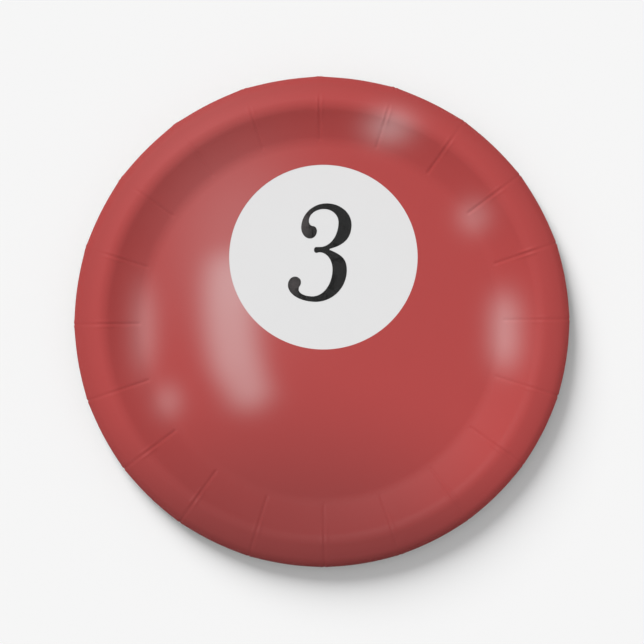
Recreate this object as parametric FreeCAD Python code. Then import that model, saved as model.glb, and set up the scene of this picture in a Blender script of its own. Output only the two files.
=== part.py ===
"""A round pressed paper plate, printed like a red pool ball with a white roundel and the numeral 3.

One paperboard blank is pressed into a flat well, a sloping wall and a rim whose edge is turned down.
Pressing a flat disc into a dish leaves too much board round the rim, and twenty radial pleats take it up.
The face carries a white coat, the red ink, the black numeral and a clear coat, in that order.

Frame: Z up, origin at the centre of the well's underside, where the plate stands. Millimetres and degrees.
"""

import FreeCAD, Part

import math
import os

from FreeCAD import Vector

# Overall size
OUTER_DIAMETER = 178.0
HEIGHT = 8.2  # from the table to the top of the rim
FLOOR_DIAMETER = 125.8  # the flat well, out to where the board starts to rise

# Slopes from the horizontal. The wall is bowed, and steepest just below the crest.
WALL_FOOT_SLOPE = 27.0
WALL_TOP_SLOPE = 36.0
BRIM_SLOPE = -12.0
LIP_SLOPE = -75.0

# Bend radii of the board's underside
COVE_RADIUS = 10.5  # well to wall
CREST_RADIUS = 5.2  # wall to brim
LIP_RADIUS = 4.0  # brim to turned-down lip

# Layers, from the underside up
BOARD_THICKNESS = 0.36
WHITE_COAT_THICKNESS = 0.08
INK_THICKNESS = 0.08
CLEAR_COAT_THICKNESS = 0.08

# Pleats
PLEAT_COUNT = 20
PLEAT_TURN = 0.6  # from +X to the first pleat
SLIT_START_RADIUS = 65.5  # each fold opens just outside the flat well
SLIT_START_WIDTH = 0.05
SLIT_END_WIDTH = 0.25
SLIT_DEPTH = 0.15  # how far a fold's mouth cuts into the board
TUCK_WIDTH = 2.2  # the doubled strip behind each fold, at the edge of the plate
TUCK_THICKNESS = 0.2

# Print
ROUNDEL_CENTRE = Vector(0.52, 23.5, 0)
ROUNDEL_WIDTH = 68.4
ROUNDEL_HEIGHT = 67.0
NUMERAL_CORNER = Vector(-12.33, 7.3, 0)  # lower left corner of the numeral's box
NUMERAL_HEIGHT = 35.7

# The numeral's outline as shares of its height, clockwise from its top, with the way it runs at each anchor:
# level (H) or upright (V), or rising or falling (R, F) into the notch at its waist. Bows join the anchors.
H, V = Vector(1, 0, 0), Vector(0, 1, 0)
R, F = Vector(1, 0.25, 0).normalize(), Vector(1, -0.4, 0).normalize()
NUMERAL_OUTLINE = [
    (0.395, 1.000, H),  # top
    (0.646, 0.785, V),  # upper bowl, outside
    (0.425, 0.539, R),  # waist
    (0.425, 0.527, F),
    (0.598, 0.323, V),  # lower bowl, outside
    (0.281, 0.000, H),  # foot
    (0.000, 0.169, V),  # lower ball
    (0.071, 0.256, H),
    (0.132, 0.201, V),
    (0.109, 0.124, V),  # neck of the lower ball
    (0.249, 0.055, H),  # lower bowl, inside
    (0.453, 0.331, V),
    (0.322, 0.503, H),  # underside of the middle bar
    (0.286, 0.498, H),
    (0.265, 0.527, V),  # end of the middle bar
    (0.286, 0.556, H),
    (0.325, 0.557, H),
    (0.514, 0.809, V),  # upper bowl, inside
    (0.367, 0.943, H),
    (0.2125, 0.822, V),
    (0.253, 0.770, H),  # neck of the upper ball
    (0.294, 0.720, V),  # upper ball
    (0.225, 0.643, H),
    (0.135, 0.753, V),
]
BOW = 0.55  # length of a bow's handles, as a share of its reach; this makes a quarter bow round

WHITE_COAT_LEVEL = BOARD_THICKNESS
INK_LEVEL = WHITE_COAT_LEVEL + WHITE_COAT_THICKNESS
CLEAR_COAT_LEVEL = INK_LEVEL + INK_THICKNESS
FACE_LEVEL = CLEAR_COAT_LEVEL + CLEAR_COAT_THICKNESS
OUTER_RADIUS = OUTER_DIAMETER / 2
FLOOR_RADIUS = FLOOR_DIAMETER / 2
PLEAT_ANGLE = 360 / PLEAT_COUNT
AXIS = (Vector(0, 0, 0), Vector(0, 0, 1))
MARGIN = 2.0  # how far cutting tools run past the board


def sine(angle):
    return math.sin(math.radians(angle))


def cosine(angle):
    return math.cos(math.radians(angle))


def wall_radius():
    """The wall's own wide bend, from what the tighter bends leave of the height."""
    cove = COVE_RADIUS * (1 - cosine(WALL_FOOT_SLOPE))
    crest = CREST_RADIUS * (1 - cosine(WALL_TOP_SLOPE))
    return (HEIGHT - FACE_LEVEL - cove - crest) / (cosine(WALL_FOOT_SLOPE) - cosine(WALL_TOP_SLOPE))


def brim_length():
    """The straight part of the brim, from what the rest leaves of the radius."""
    cove = COVE_RADIUS * sine(WALL_FOOT_SLOPE)
    wall = wall_radius() * (sine(WALL_TOP_SLOPE) - sine(WALL_FOOT_SLOPE))
    crest = CREST_RADIUS * (sine(WALL_TOP_SLOPE) - sine(BRIM_SLOPE))
    lip = LIP_RADIUS * (sine(BRIM_SLOPE) - sine(LIP_SLOPE))
    edge = -FACE_LEVEL * sine(LIP_SLOPE)
    return (OUTER_RADIUS - FLOOR_RADIUS - cove - wall - crest - lip - edge) / cosine(BRIM_SLOPE)


def meridian(level):
    """The plate's section at a height above the board's underside, as edges from the axis to the lip."""
    path = [
        ("line", FLOOR_RADIUS, 0),
        ("bend", COVE_RADIUS, WALL_FOOT_SLOPE),
        ("bend", wall_radius(), WALL_TOP_SLOPE),
        ("bend", CREST_RADIUS, BRIM_SLOPE),
        ("line", brim_length(), BRIM_SLOPE),
        ("bend", LIP_RADIUS, LIP_SLOPE),
    ]
    edges = []
    here, slope = Vector(0, 0, 0), 0

    def lifted(point, angle):
        return point + Vector(-sine(angle), 0, cosine(angle)) * level

    for kind, size, end_slope in path:
        if kind == "line":
            there = here + Vector(cosine(slope), 0, sine(slope)) * size
            edges.append(Part.LineSegment(lifted(here, slope), lifted(there, slope)).toShape())
        else:
            side = 1 if end_slope > slope else -1
            middle = (slope + end_slope) / 2

            def on_bend(angle):
                turn = Vector(sine(angle) - sine(slope), 0, cosine(slope) - cosine(angle))
                return here + turn * side * size

            there = on_bend(end_slope)
            arc = Part.Arc(lifted(here, slope), lifted(on_bend(middle), middle), lifted(there, end_slope))
            edges.append(arc.toShape())
        here, slope = there, end_slope
    return edges


def layer(low, high):
    """The solid between two levels above the board's underside, turned about the plate's axis."""
    below, above = meridian(low), meridian(high)
    ends = [
        Part.LineSegment(below[-1].Vertexes[-1].Point, above[-1].Vertexes[-1].Point).toShape(),
        Part.LineSegment(Vector(0, 0, low), Vector(0, 0, high)).toShape(),
    ]
    wire = Part.Wire(Part.__sortEdges__(below + above + ends))
    solid = Part.Face(wire).revolve(*AXIS, 360)
    solid.rotate(*AXIS, PLEAT_TURN + PLEAT_ANGLE / 2)  # the seam lies between two pleats
    return solid


def radial_wedge(inner_radius, inner_width, outer_width):
    """An upright wedge along +X, from inner_radius to past the plate's edge."""
    inner, outer = inner_radius, OUTER_RADIUS + MARGIN
    corners = [
        Vector(inner, -inner_width / 2, -MARGIN),
        Vector(outer, -outer_width / 2, -MARGIN),
        Vector(outer, outer_width / 2, -MARGIN),
        Vector(inner, inner_width / 2, -MARGIN),
    ]
    return Part.Face(Part.makePolygon(corners + corners[:1])).extrude(Vector(0, 0, HEIGHT + 2 * MARGIN))


def at_every_pleat(tool):
    """Copies of a tool at each of the pleats."""
    copies = []
    for index in range(PLEAT_COUNT):
        copy = tool.copy()
        copy.rotate(*AXIS, PLEAT_TURN + index * PLEAT_ANGLE)
        copies.append(copy)
    return copies


def slits():
    """The mouths of the folds, right through the coats."""
    return at_every_pleat(radial_wedge(SLIT_START_RADIUS, SLIT_START_WIDTH, SLIT_END_WIDTH))


def roundel(low, high):
    """The white disc's outline between two levels. It is a little wider than it is high."""
    ellipse = Part.Ellipse(ROUNDEL_CENTRE + Vector(0, 0, low), ROUNDEL_WIDTH / 2, ROUNDEL_HEIGHT / 2)
    return Part.Face(Part.Wire(ellipse.toShape())).extrude(Vector(0, 0, high - low))


def numeral(low, high):
    """The figure 3, with a ball on each of its two ends and a short bar at its waist."""
    corner = NUMERAL_CORNER + Vector(0, 0, low)
    anchors = [(corner + Vector(x, y, 0) * NUMERAL_HEIGHT, way) for x, y, way in NUMERAL_OUTLINE]
    edges = []
    for (start, start_way), (end, end_way) in zip(anchors, anchors[1:] + anchors[:1]):
        step = end - start
        curve = Part.BezierCurve()
        curve.setPoles(
            [
                start,
                start + start_way * step.dot(start_way) * BOW,
                end - end_way * step.dot(end_way) * BOW,
                end,
            ]
        )
        edges.append(curve.toShape())
    return Part.Face(Part.Wire(edges)).extrude(Vector(0, 0, high - low))


def board():
    """The pressed blank: slits where the folds open on the face, and doubled strips behind them."""
    tuck_start = FLOOR_RADIUS + COVE_RADIUS * sine(WALL_FOOT_SLOPE)
    tuck = radial_wedge(tuck_start, SLIT_START_WIDTH, TUCK_WIDTH)
    behind = layer(-TUCK_THICKNESS, BOARD_THICKNESS / 2)
    mouth = layer(BOARD_THICKNESS - SLIT_DEPTH, FACE_LEVEL)
    tucks = [behind.common(wedge) for wedge in at_every_pleat(tuck)]
    mouths = [mouth.common(wedge) for wedge in slits()]
    return layer(0, BOARD_THICKNESS).fuse(tucks).cut(mouths).removeSplitter()


def white_coat():
    """The smooth white ground for the print, which shows as the roundel."""
    return layer(WHITE_COAT_LEVEL, INK_LEVEL).cut(slits())


def red_print():
    """The red ink, all over the face but for the roundel."""
    opening = roundel(INK_LEVEL, CLEAR_COAT_LEVEL)
    return layer(INK_LEVEL, CLEAR_COAT_LEVEL).cut([opening] + slits())


def numeral_print():
    """The black ink of the numeral."""
    return numeral(INK_LEVEL, CLEAR_COAT_LEVEL)


def clear_coat():
    """The clear barrier coat, which also fills the roundel round the numeral to the ink's level."""
    fill = roundel(INK_LEVEL, CLEAR_COAT_LEVEL).cut(numeral(INK_LEVEL, CLEAR_COAT_LEVEL))
    return layer(CLEAR_COAT_LEVEL, FACE_LEVEL).cut(slits()).fuse(fill).removeSplitter()


os.makedirs("parts", exist_ok=True)
for piece in (board, white_coat, red_print, numeral_print, clear_coat):
    shape = piece()
    shape.exportStep(f"parts/{piece.__name__}.step")
    print(piece.__name__, len(shape.Solids), "solid, valid", shape.isValid(), round(shape.Volume), "mm3")
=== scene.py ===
"""The looks of a pressed paper plate, printed like a red pool ball with a white roundel and the numeral 3.

The board and its coats are rebuilt round the CAD model as closed shells that nest in one another. They carry
what pressing leaves in a real plate: twenty pleats, corners in the rim, and a slight warp. The numeral stays
as the CAD node. Lengths are in millimetres and angles in degrees until a mesh is made.
"""

import math
from collections import namedtuple

import bpy
import numpy as np
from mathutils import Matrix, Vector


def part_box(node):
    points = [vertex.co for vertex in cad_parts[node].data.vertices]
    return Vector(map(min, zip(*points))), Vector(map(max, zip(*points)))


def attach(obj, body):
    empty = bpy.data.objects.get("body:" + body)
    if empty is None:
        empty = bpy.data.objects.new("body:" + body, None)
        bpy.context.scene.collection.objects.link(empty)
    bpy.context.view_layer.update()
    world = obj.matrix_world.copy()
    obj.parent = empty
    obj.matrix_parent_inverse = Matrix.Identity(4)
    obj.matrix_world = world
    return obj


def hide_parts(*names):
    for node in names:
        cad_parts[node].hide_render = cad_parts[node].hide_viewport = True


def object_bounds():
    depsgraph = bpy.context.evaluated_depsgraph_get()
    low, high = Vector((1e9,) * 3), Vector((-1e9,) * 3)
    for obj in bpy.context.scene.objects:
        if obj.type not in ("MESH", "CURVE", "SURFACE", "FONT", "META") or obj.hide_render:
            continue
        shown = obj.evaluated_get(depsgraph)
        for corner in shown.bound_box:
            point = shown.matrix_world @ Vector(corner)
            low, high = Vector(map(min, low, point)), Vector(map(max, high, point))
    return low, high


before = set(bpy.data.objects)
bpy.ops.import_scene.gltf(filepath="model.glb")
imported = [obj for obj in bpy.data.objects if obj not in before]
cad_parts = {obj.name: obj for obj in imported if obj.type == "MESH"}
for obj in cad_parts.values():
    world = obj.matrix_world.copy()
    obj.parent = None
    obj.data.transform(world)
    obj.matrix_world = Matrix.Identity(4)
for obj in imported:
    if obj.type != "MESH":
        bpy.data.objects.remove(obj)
cad_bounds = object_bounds()

MM = 0.001  # metres in a millimetre

# The plate's section, as in the CAD model: slopes from the horizontal, and bend radii of the underside
OUTER_RADIUS = cad_bounds[1].x / MM
HEIGHT = cad_bounds[1].z / MM
WELL_RADIUS = 62.9
COVE_RADIUS = 10.5
WALL_FOOT_SLOPE = 27.0
WALL_TOP_SLOPE = 36.0
CREST_RADIUS = 5.2
BRIM_SLOPE = -12.0
LIP_RADIUS = 4.0
LIP_SLOPE = -75.0

# Heights of the layers above the board's underside. The ink's are the numeral's own.
numeral_low, numeral_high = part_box("numeral_print")
INK_LEVEL = numeral_low.z / MM
CLEAR_LEVEL = numeral_high.z / MM
COAT_THICKNESS = CLEAR_LEVEL - INK_LEVEL
WHITE_LEVEL = INK_LEVEL - COAT_THICKNESS
FACE_LEVEL = CLEAR_LEVEL + COAT_THICKNESS
LAYER_GAP = 0.006  # keeps two layers' surfaces from lying on each other

# Pleats: a groove from the well to the rim, with a small ridge on each side of it at the crest. An onset is
# the pair of radii between which a feature comes in.
PLEAT_COUNT = 20
PLEAT_TURN = 0.6  # from +X to the first pleat
PLEAT_ONSET = (65.5, 66.5)
CREST_ONSET = (71.0, 76.0)  # where a groove turns shallow
BRIM_ONSET = (79.0, 83.0)  # where it takes its depth on the brim, and the ridges end
RIDGE_ONSET = (73.0, 77.0)
GROOVE_DEPTH = 0.27
GROOVE_WIDTH = 0.62
CREST_GROOVE = 0.5  # share of a groove that is left at the crest
BRIM_GROOVE = 0.5  # and on the brim
RIDGE_HEIGHT = 0.13
RIDGE_OFFSET = 0.9
RIDGE_WIDTH = 0.55

# The press bit harder on one side: there the grooves are deeper on the wall and ironed out on the brim, and
# the corners stand out more. Grooves that run along the faint axis, to either side, are shallower.
PRESSED_SIDE = 115.0
PRESSED_WALL = 0.15
PRESSED_BRIM = 0.9
PRESSED_CORNER = 0.5
FAINT_AXIS = 117.0
FAINTNESS = 0.45

# The cut edge at a pleat: a corner, with a notch in it and a tooth on each side of the notch
CORNER_HEIGHT = 0.23
CORNER_REACH = 3.4  # along the edge, on each side
CORNER_ONSET = (79.0, OUTER_RADIUS)
NOTCH_DEPTH = 0.1
NOTCH_WIDTH = 0.4
TOOTH_HEIGHT = 0.09
TOOTH_OFFSET = 0.65
TOOTH_WIDTH = 0.55
TOOTH_ONSET = (OUTER_RADIUS - 3, OUTER_RADIUS)

# The rim as a whole
OUT_OF_ROUND = 0.42  # how far its long axis stands out, and its short axis in
LONG_AXIS = -5.0  # direction of the long axis
WARP_WAVES = [(2, 0.12, 0.7), (3, 0.072, -1.1), (7, 0.048, 2.0)]  # crests in a turn, height, phase in radians

# How much each feature may differ from pleat to pleat, as a share of its size
VARIETY = {"groove": 0.2, "ridges": 0.5, "left_ridge": 0.4, "notch": 0.95, "left_tooth": 0.6}
VARIETY_SEED = 3

# Print
ROUNDEL_CENTRE = (0.52, 23.5)
ROUNDEL_RADII = (34.2, 33.5)

# Grid
BEND_STEPS = 10
WALL_STEPS = 14
BRIM_STEPS = 8
WELL_RINGS = 5
PLEAT_STEPS = 13  # on each side of a pleat
PLEAT_SPAN = 1.5  # degrees on each side of a pleat
SECTOR_STEPS = 9  # between two pleats
SHARP_ANGLE = 40.0  # faces that meet at more than this have a sharp edge

# Light and camera
FLOOR_REACH = 20 * OUTER_RADIUS  # from the middle of the studio's floor to its sides
FLOOR_ALBEDO = 0.9
FLOOR_BRIGHTNESS = 0.922  # in the picture, in linear light
KEY_SHARE = 0.52  # of the light that falls on a level surface
PLATE_KEY_AZIMUTH = 127.0
PLATE_KEY_ELEVATION = 51.0
PLATE_KEY_ANGLE = 44.0
FLOOR_KEY_AZIMUTH = 121.0
FLOOR_KEY_ELEVATION = 24.2
FLOOR_KEY_ANGLE = 28.0
LENS = 120.0
SENSOR = 36.0
PICTURE_WIDTH = 232.4
OUTLINE_HEIGHT = 4.5  # of the rim's outline above the floor, where the picture has that width
CAMERA_X = 0.03
CAMERA_Y = -0.035

# Colours
RED = (0.440, 0.0675, 0.065)
DARK_RED = (0.266, 0.051, 0.0495)  # at the foot of the plate
BLACK = (0.026, 0.026, 0.026)
PALE = (0.92, 0.80, 0.80)  # of the printed reflections
WHITES = [(0.758, 0.758, 0.760), (0.747, 0.747, 0.749)]  # the coated white drifts from one to the other
BOARDS = [(0.80, 0.785, 0.75), (0.76, 0.745, 0.71)]  # and so does the bare board
FLECK = (0.45, 0.42, 0.36)

# How the red darkens: towards the foot of the plate, where the printed ball is shaded, and towards the edge
FOOT_TOP = -10.0  # where the red starts to darken on the way down, and where it is darkest
FOOT_BOTTOM = -84.0
FOOT_MIDDLE = -18.0  # across the plate, where the dark reaches highest
FOOT_CURVE = 250.0  # the greater, the flatter the lines of equal tone
EDGE_START = 80.0
EDGE_DARKENING = 0.13

INK_SPECULAR = 0.01
FILM_ALPHA = 0.002

# A pale patch of the print. It fades as a bell does, and more squarely the higher its two edge powers are.
Glow = namedtuple(
    "Glow", "x y width height strength side_power end_power lean bend", defaults=(2.0, 2.0, 0.0, 0.0)
)

# Soft reflections in the red print
GLOWS = [
    Glow(-30.6, 31, 25.3, 34.1, 0.096),  # broad haze
    Glow(-33.2, 0, 10.3, 25.2, 0.274, 2.6, 6.6, -0.073, 0.0057),  # tall window
    Glow(-27.1, -27.6, 8.4, 6.1, 0.147),  # its bright lower end
    Glow(-64.6, -2.3, 5.7, 16.3, 0.136, 2.0, 2.6),  # left edge
    Glow(-55.8, -28.7, 5.8, 6.7, 0.123),  # lower left
    Glow(66.3, -3.2, 6.3, 13.7, 0.222, 1.9, 2.8),  # right edge
    Glow(54.9, 38.1, 6.3, 6.5, 0.138),  # upper right
    Glow(24.1, 70.3, 8.7, 6.2, 0.27),  # top edge
]

# Faint lighter patches in the black print
NUMERAL_GLOWS = [
    Glow(-6.5, 36, 3, 6, 0.05),
    Glow(-10, 13.5, 3, 3.5, 0.05),
]


def sine(angle):
    return math.sin(math.radians(angle))


def cosine(angle):
    return math.cos(math.radians(angle))


def smooth(value, low, high):
    """0 up to low, 1 from high, and a soft step between them."""
    share = np.clip((value - low) / (high - low), 0, 1)
    return share * share * (3 - 2 * share)


def bell(distance, width):
    return np.exp(-((distance / width) ** 2))


# ---- Geometry ----


def section():
    """Stations along the board's underside, from the well's edge to the lip: radius, height and slope."""
    rise = HEIGHT - FACE_LEVEL - COVE_RADIUS * (1 - cosine(WALL_FOOT_SLOPE))
    rise -= CREST_RADIUS * (1 - cosine(WALL_TOP_SLOPE))
    wall_radius = rise / (cosine(WALL_FOOT_SLOPE) - cosine(WALL_TOP_SLOPE))
    run = COVE_RADIUS * sine(WALL_FOOT_SLOPE)
    run += wall_radius * (sine(WALL_TOP_SLOPE) - sine(WALL_FOOT_SLOPE))
    run += CREST_RADIUS * (sine(WALL_TOP_SLOPE) - sine(BRIM_SLOPE))
    run += LIP_RADIUS * (sine(BRIM_SLOPE) - sine(LIP_SLOPE)) - FACE_LEVEL * sine(LIP_SLOPE)
    brim = (OUTER_RADIUS - WELL_RADIUS - run) / cosine(BRIM_SLOPE)
    path = [
        (COVE_RADIUS, WALL_FOOT_SLOPE, BEND_STEPS),
        (wall_radius, WALL_TOP_SLOPE, WALL_STEPS),
        (CREST_RADIUS, BRIM_SLOPE, BEND_STEPS),
        (brim, BRIM_SLOPE, BRIM_STEPS),
        (LIP_RADIUS, LIP_SLOPE, BEND_STEPS),
    ]
    stations = [(WELL_RADIUS, 0.0, 0.0)]
    for size, end_slope, steps in path:
        start_radius, start_height, start_slope = stations[-1]
        for step in range(1, steps + 1):
            slope = start_slope + (end_slope - start_slope) * step / steps
            if slope == start_slope:  # a straight stretch
                across = cosine(slope) * size * step / steps
                up = sine(slope) * size * step / steps
            else:
                side = 1 if end_slope > start_slope else -1
                across = side * size * (sine(slope) - sine(start_slope))
                up = side * size * (cosine(start_slope) - cosine(slope))
            stations.append((start_radius + across, start_height + up, slope))
    return np.array(stations)


def ring_angles():
    """Directions of the grid's radial lines, close together at the pleats, with each one's nearest pleat."""
    near = np.linspace(-PLEAT_SPAN, PLEAT_SPAN, 2 * PLEAT_STEPS + 1)
    pitch = 360 / PLEAT_COUNT
    between = np.linspace(PLEAT_SPAN, pitch - PLEAT_SPAN, SECTOR_STEPS + 1)[1:-1]
    sector = np.concatenate([near, between])
    pleats = np.repeat(np.arange(PLEAT_COUNT), len(sector))
    angles = pleats * pitch + np.tile(sector, PLEAT_COUNT)
    return np.radians(PLEAT_TURN + angles), np.round(angles / pitch).astype(int)


STATIONS = section()
ANGLES, NEAREST = ring_angles()
DRAWS = np.random.default_rng(VARIETY_SEED).uniform(-1, 1, (len(VARIETY), PLEAT_COUNT))
PLEAT_SHAPES = dict(zip(VARIETY, DRAWS))


def vary(feature):
    """Each radial line's factor round 1 for one feature of its nearest pleat."""
    return 1 + VARIETY[feature] * PLEAT_SHAPES[feature][NEAREST % PLEAT_COUNT]


def facing(direction):
    """How squarely each radial line faces a direction: 1 towards it, and -1 away from it."""
    return np.cos(ANGLES - math.radians(direction))


def relief(radius, offset):
    """Height of the pressed-in pleats along the surface's normal."""
    pressed = 1 + PRESSED_WALL * facing(PRESSED_SIDE)
    depth = GROOVE_DEPTH * pressed * (1 - FAINTNESS * facing(FAINT_AXIS) ** 2)
    groove = depth * vary("groove") * smooth(radius, *PLEAT_ONSET)
    groove = groove * (1 + (CREST_GROOVE - 1) * smooth(radius, *CREST_ONSET))
    on_brim = BRIM_GROOVE * (1 - PRESSED_BRIM * facing(PRESSED_SIDE))
    groove = groove + depth * (on_brim - CREST_GROOVE) * smooth(radius, *BRIM_ONSET)
    left_ridge = bell(offset - RIDGE_OFFSET, RIDGE_WIDTH) * vary("left_ridge")
    ridges = vary("ridges") * (left_ridge + bell(offset + RIDGE_OFFSET, RIDGE_WIDTH))
    ridge_height = RIDGE_HEIGHT * smooth(radius, *RIDGE_ONSET) * (1 - smooth(radius, *BRIM_ONSET))
    return ridge_height * ridges - groove * bell(offset, GROOVE_WIDTH)


def edge_shift(radius, offset):
    """How far the edge stands in or out: corners and teeth at the pleats, hollows between them."""
    hollow = 2 * CORNER_REACH * PLEAT_COUNT / (2 * math.pi * OUTER_RADIUS)  # keeps the mean radius
    corner_height = CORNER_HEIGHT * (1 + PRESSED_CORNER * facing(PRESSED_SIDE))
    corners = corner_height * (np.exp(-np.abs(offset) / CORNER_REACH) - hollow)
    notch = NOTCH_DEPTH * vary("notch") * bell(offset, NOTCH_WIDTH)
    left_tooth = bell(offset - TOOTH_OFFSET, TOOTH_WIDTH) * vary("left_tooth")
    teeth = TOOTH_HEIGHT * (left_tooth + bell(offset + TOOTH_OFFSET, TOOTH_WIDTH))
    return corners * smooth(radius, *CORNER_ONSET) + (teeth - notch) * smooth(radius, *TOOTH_ONSET)


def warp(radius):
    """Slow rise and fall of the rim."""
    waves = sum(height * np.cos(count * ANGLES + phase) for count, height, phase in WARP_WAVES)
    return waves * smooth(radius, WELL_RADIUS, OUTER_RADIUS)


def rim_surface(level):
    """Points of the cove, wall and rim at a height above the board's underside, by station and direction."""
    base_radius, base_height, slope = STATIONS.T[:, :, None]
    offset = base_radius * (ANGLES - math.radians(PLEAT_TURN) - NEAREST * 2 * math.pi / PLEAT_COUNT)
    lift = level + relief(base_radius, offset)
    radius = base_radius - np.sin(np.radians(slope)) * lift + edge_shift(base_radius, offset)
    height = base_height + np.cos(np.radians(slope)) * lift + warp(base_radius)
    stretch = OUT_OF_ROUND * np.cos(2 * (ANGLES - math.radians(LONG_AXIS)))
    radius = radius + stretch * smooth(base_radius, WELL_RADIUS, OUTER_RADIUS)
    return np.stack([radius * np.cos(ANGLES), radius * np.sin(ANGLES), height], axis=-1)


def well_surface(level, opening):
    """Rings of the flat well, from its middle or from the roundel's outline to its edge."""
    directions = np.stack([np.cos(ANGLES), np.sin(ANGLES)], axis=-1)
    edge = WELL_RADIUS * directions
    if opening:
        inner = np.array(ROUNDEL_CENTRE) + np.array(ROUNDEL_RADII) * directions
    else:
        inner = edge / WELL_RINGS / 2
    shares = np.arange(WELL_RINGS)[:, None, None] / WELL_RINGS
    rings = inner + (edge - inner) * shares
    heights = np.full(rings.shape[:2] + (1,), level)
    return np.concatenate([rings, heights], axis=-1)


def layer_surface(level, opening):
    return np.concatenate([well_surface(level, opening), rim_surface(level)])


def shell(name, low, high, opening=False):
    """A closed mesh between two levels. With an opening, the roundel is left out."""
    under, over = layer_surface(low, opening), layer_surface(high, opening)
    rings, count = over.shape[:2]
    points = np.concatenate([over.reshape(-1, 3), under.reshape(-1, 3)])
    below = rings * count  # from a point's number to that of the point under it
    here = np.arange(count)
    ahead = (here + 1) % count
    start = np.arange(rings - 1)[:, None] * count
    top = np.stack([start + here, start + count + here, start + count + ahead, start + ahead], axis=-1)
    bottom = top[..., ::-1] + below
    edge = (rings - 1) * count + here
    edge_ahead = (rings - 1) * count + ahead
    rim = np.stack([edge, edge + below, edge_ahead + below, edge_ahead], axis=-1)
    faces = np.concatenate([top.reshape(-1, 4), bottom.reshape(-1, 4), rim]).tolist()
    if opening:
        hole = np.stack([here, ahead, ahead + below, here + below], axis=-1)
        faces += hole.tolist()
    else:
        faces.append(here.tolist())
        faces.append((here[::-1] + below).tolist())
    mesh = bpy.data.meshes.new(name)
    mesh.from_pydata((points * MM).tolist(), [], faces)
    mesh.polygons.foreach_set("use_smooth", [True] * len(mesh.polygons))
    mesh.set_sharp_from_angle(angle=math.radians(SHARP_ANGLE))
    mesh.update()
    piece = bpy.data.objects.new(name, mesh)
    bpy.context.scene.collection.objects.link(piece)
    return piece


# ---- Materials ----


class Shader:
    """One material, with short calls that add its nodes and link their inputs."""

    def __init__(self, name):
        self.material = bpy.data.materials.new(name)
        self.material.use_nodes = True
        self.tree = self.material.node_tree
        self.surface = self.tree.nodes["Principled BSDF"]
        split = self.add("ShaderNodeSeparateXYZ", Vector=self.add("ShaderNodeTexCoord").outputs["Object"])
        self.x, self.y = (self.math("DIVIDE", split.outputs[axis], MM) for axis in "XY")

    def add(self, kind, **inputs):
        node = self.tree.nodes.new(kind)
        for name, value in inputs.items():
            self.feed(node.inputs[name.replace("_", " ")], value)
        return node

    def feed(self, socket, value):
        if isinstance(value, bpy.types.NodeSocket):
            self.tree.links.new(value, socket)
        else:
            socket.default_value = value

    def math(self, operation, first, second=0.0, third=0.0):
        node = self.add("ShaderNodeMath")
        node.operation = operation
        for socket, value in zip(node.inputs, (first, second, third)):
            self.feed(socket, value)
        return node.outputs[0]

    def soft_step(self, value, low, high):
        """0 up to low, 1 from high, and a soft step between them."""
        node = self.add("ShaderNodeMapRange", Value=value, From_Min=low, From_Max=high)
        node.interpolation_type = "SMOOTHSTEP"
        return node.outputs["Result"]

    def blend(self, share, first, second):
        """From one colour to another."""
        node = self.add("ShaderNodeMix")
        node.data_type = "RGBA"
        self.feed(node.inputs[0], share)
        for socket, colour in zip(node.inputs[6:8], (first, second)):
            self.feed(socket, colour if isinstance(colour, bpy.types.NodeSocket) else (*colour, 1))
        return node.outputs[2]

    def noise(self, size, detail=2.0):
        """Even noise round 0.5, with features of about the given size."""
        place = self.add("ShaderNodeTexCoord").outputs["Object"]
        scale = 1 / (size * MM)
        return self.add("ShaderNodeTexNoise", Vector=place, Scale=scale, Detail=detail).outputs["Fac"]

    def drift(self, size, low, high):
        """A value that drifts between two others, in patches of about the given size."""
        return self.math("MULTIPLY_ADD", self.noise(size), high - low, low)

    def glow(self, spot):
        """How strong one pale patch is here. Its upright axis may lean or bend."""
        up = self.math("SUBTRACT", self.y, spot.y)
        middle = self.math("MULTIPLY_ADD", up, self.math("MULTIPLY_ADD", up, spot.bend, spot.lean), spot.x)
        across = self.math("ABSOLUTE", self.math("SUBTRACT", self.x, middle))
        sides = self.math("POWER", self.math("DIVIDE", across, spot.width), spot.side_power)
        ends = self.math("POWER", self.math("DIVIDE", self.math("ABSOLUTE", up), spot.height), spot.end_power)
        fade = self.math("EXPONENT", self.math("MULTIPLY", self.math("ADD", sides, ends), -1))
        return self.math("MULTIPLY", fade, spot.strength)

    def all_glows(self, spots):
        total = 0.0
        for spot in spots:
            total = self.math("ADD", self.glow(spot), total)
        return total

    def finish(self, colour, roughness, bump, bump_height, specular):
        """Feeds the surface: colour, roughness, and a bump whose height is in millimetres."""
        raised = self.add("ShaderNodeBump", Height=bump, Distance=bump_height * MM)
        for name, value in (
            ("Base Color", colour),
            ("Roughness", roughness),
            ("Specular IOR Level", specular),
            ("Normal", raised.outputs["Normal"]),
        ):
            self.feed(self.surface.inputs[name], value)
        return self.material


def printed(shader, colour):
    """The satin surface that the red and the black ink share: fine grain, and slight press mottle."""
    tone = shader.math("MULTIPLY", shader.drift(0.5, 0.98, 1.02), shader.drift(9.0, 0.988, 1.012))
    toned = shader.add("ShaderNodeHueSaturation", Value=tone, Color=colour)
    grain = shader.noise(0.35, detail=3.0)
    roughness = shader.drift(1.5, 0.5, 0.62)
    return shader.finish(toned.outputs[0], roughness, bump=grain, bump_height=0.004, specular=INK_SPECULAR)


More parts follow.
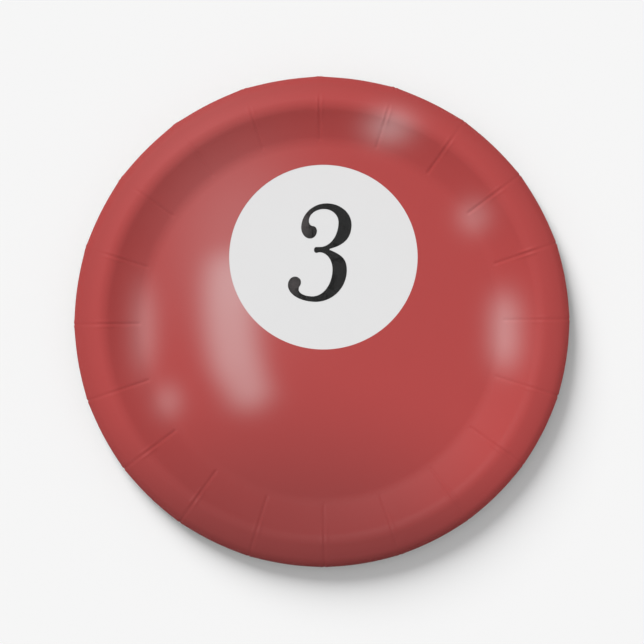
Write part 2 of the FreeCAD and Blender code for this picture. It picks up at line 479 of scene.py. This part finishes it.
def red_ink():
    """Red, darker towards the foot of the plate and the edge, with the pale reflections laid over it."""
    shader = Shader("red_ink")
    side = shader.math("SUBTRACT", shader.x, FOOT_MIDDLE)
    curved = shader.math("DIVIDE", shader.math("MULTIPLY", side, side), FOOT_CURVE)
    foot = shader.soft_step(shader.math("ADD", shader.y, curved), FOOT_TOP, FOOT_BOTTOM)
    red = shader.blend(foot, RED, DARK_RED)
    across = shader.math("MULTIPLY", shader.x, shader.x)
    from_middle = shader.math("SQRT", shader.math("MULTIPLY_ADD", shader.y, shader.y, across))
    edge = shader.math("MULTIPLY", shader.soft_step(from_middle, EDGE_START, OUTER_RADIUS), EDGE_DARKENING)
    red = shader.blend(edge, red, (0, 0, 0))
    return printed(shader, shader.blend(shader.all_glows(GLOWS), red, PALE))


def black_ink():
    """Black, with a trace of the same reflections."""
    shader = Shader("black_ink")
    return printed(shader, shader.blend(shader.all_glows(NUMERAL_GLOWS), BLACK, PALE))


def white_ground():
    """The smooth coated white of the roundel."""
    shader = Shader("white_ground")
    colour = shader.blend(shader.noise(7.0), *WHITES)
    grain = shader.noise(0.4, detail=3.0)
    return shader.finish(colour, roughness=0.5, bump=grain, bump_height=0.005, specular=0.3)


def bare_board():
    """Uncoated paperboard: warm white, with flecks and a felt of fibres."""
    shader = Shader("bare_board")
    fleck = shader.soft_step(shader.noise(0.8, detail=4.0), 0.62, 0.72)
    colour = shader.blend(shader.noise(14.0), *BOARDS)
    flecked = shader.blend(shader.math("MULTIPLY", fleck, 0.12), colour, FLECK)
    felt = shader.math("ADD", shader.noise(0.25, detail=3.0), shader.noise(1.1))
    return shader.finish(flecked, roughness=0.9, bump=felt, bump_height=0.02, specular=0.2)


def clear_film():
    """A film that is all but invisible: it adds a trace of gloss and hides nothing."""
    shader = Shader("clear_film")
    material = shader.finish(
        (1, 1, 1, 1), roughness=0.4, bump=shader.noise(2.5), bump_height=0.004, specular=0.5
    )
    shader.surface.inputs["Metallic"].default_value = 1
    shader.surface.inputs["Alpha"].default_value = FILM_ALPHA
    return material


# ---- The object ----


def layer(name, node, low, high, material, opening=False):
    """A shell that stands for one CAD node."""
    piece = shell(name, low, high - LAYER_GAP, opening)
    piece.data.materials.append(material)
    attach(piece, "root")
    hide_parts(node)


def build_plate():
    layer("pressed_board", "board", 0, WHITE_LEVEL, bare_board())
    layer("white_ground", "white_coat", WHITE_LEVEL, INK_LEVEL, white_ground())
    layer("red_ink_film", "red_print", INK_LEVEL, CLEAR_LEVEL, red_ink(), opening=True)
    layer("clear_film", "clear_coat", CLEAR_LEVEL, FACE_LEVEL, clear_film())
    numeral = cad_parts["numeral_print"]
    numeral.data.materials.clear()
    numeral.data.materials.append(black_ink())


# ---- The studio ----


def build_floor():
    """A plain pale floor, far larger than the picture. It's returned so that a light can be kept to it."""
    reach = FLOOR_REACH * MM
    corners = [(-reach, -reach, 0), (reach, -reach, 0), (reach, reach, 0), (-reach, reach, 0)]
    mesh = bpy.data.meshes.new("floor")
    mesh.from_pydata(corners, [], [(0, 1, 2, 3)])
    floor = bpy.data.objects.new("floor", mesh)
    bpy.context.scene.collection.objects.link(floor)
    shader = Shader("floor")
    shader.feed(shader.surface.inputs["Base Color"], (FLOOR_ALBEDO, FLOOR_ALBEDO, FLOOR_ALBEDO, 1))
    shader.feed(shader.surface.inputs["Roughness"], 1)
    shader.feed(shader.surface.inputs["Specular IOR Level"], 0)
    mesh.materials.append(shader.material)
    return floor


def key_light(name, azimuth, elevation, angle, floor, link_state):
    """A broad light from the upper left that shines on the floor alone, or on all but the floor."""
    light = bpy.data.lights.new(name, "SUN")
    light.angle = math.radians(angle)
    light.energy = FLOOR_BRIGHTNESS / FLOOR_ALBEDO * KEY_SHARE * math.pi / sine(elevation)
    key = bpy.data.objects.new(name, light)
    key.rotation_euler = (0, math.radians(90 - elevation), math.radians(azimuth))
    bpy.context.scene.collection.objects.link(key)
    lit = bpy.data.collections.new(name)
    lit.objects.link(floor)
    lit.collection_objects[0].light_linking.link_state = link_state
    key.light_linking.receiver_collection = lit


def build_lights(floor):
    """An even white sky and a key light. The key stands lower for the floor, which draws out the shadow."""
    world = bpy.data.worlds.new("sky")
    world.use_nodes = True
    sky = world.node_tree.nodes["Background"]
    sky.inputs["Color"].default_value = (1, 1, 1, 1)
    sky.inputs["Strength"].default_value = FLOOR_BRIGHTNESS / FLOOR_ALBEDO * (1 - KEY_SHARE)
    bpy.context.scene.world = world
    key_light("plate_key", PLATE_KEY_AZIMUTH, PLATE_KEY_ELEVATION, PLATE_KEY_ANGLE, floor, "EXCLUDE")
    key_light("floor_key", FLOOR_KEY_AZIMUTH, FLOOR_KEY_ELEVATION, FLOOR_KEY_ANGLE, floor, "INCLUDE")


def build_camera():
    """Straight above, through a long lens, with the top of the numeral up."""
    camera = bpy.data.cameras.new("camera")
    camera.lens = LENS
    camera.sensor_width = SENSOR
    holder = bpy.data.objects.new("camera", camera)
    height = OUTLINE_HEIGHT + PICTURE_WIDTH * LENS / SENSOR
    holder.location = (CAMERA_X * MM, CAMERA_Y * MM, height * MM)
    bpy.context.scene.collection.objects.link(holder)
    bpy.context.scene.camera = holder
    bpy.context.scene.view_settings.view_transform = "Standard"


build_plate()
build_lights(build_floor())
build_camera()
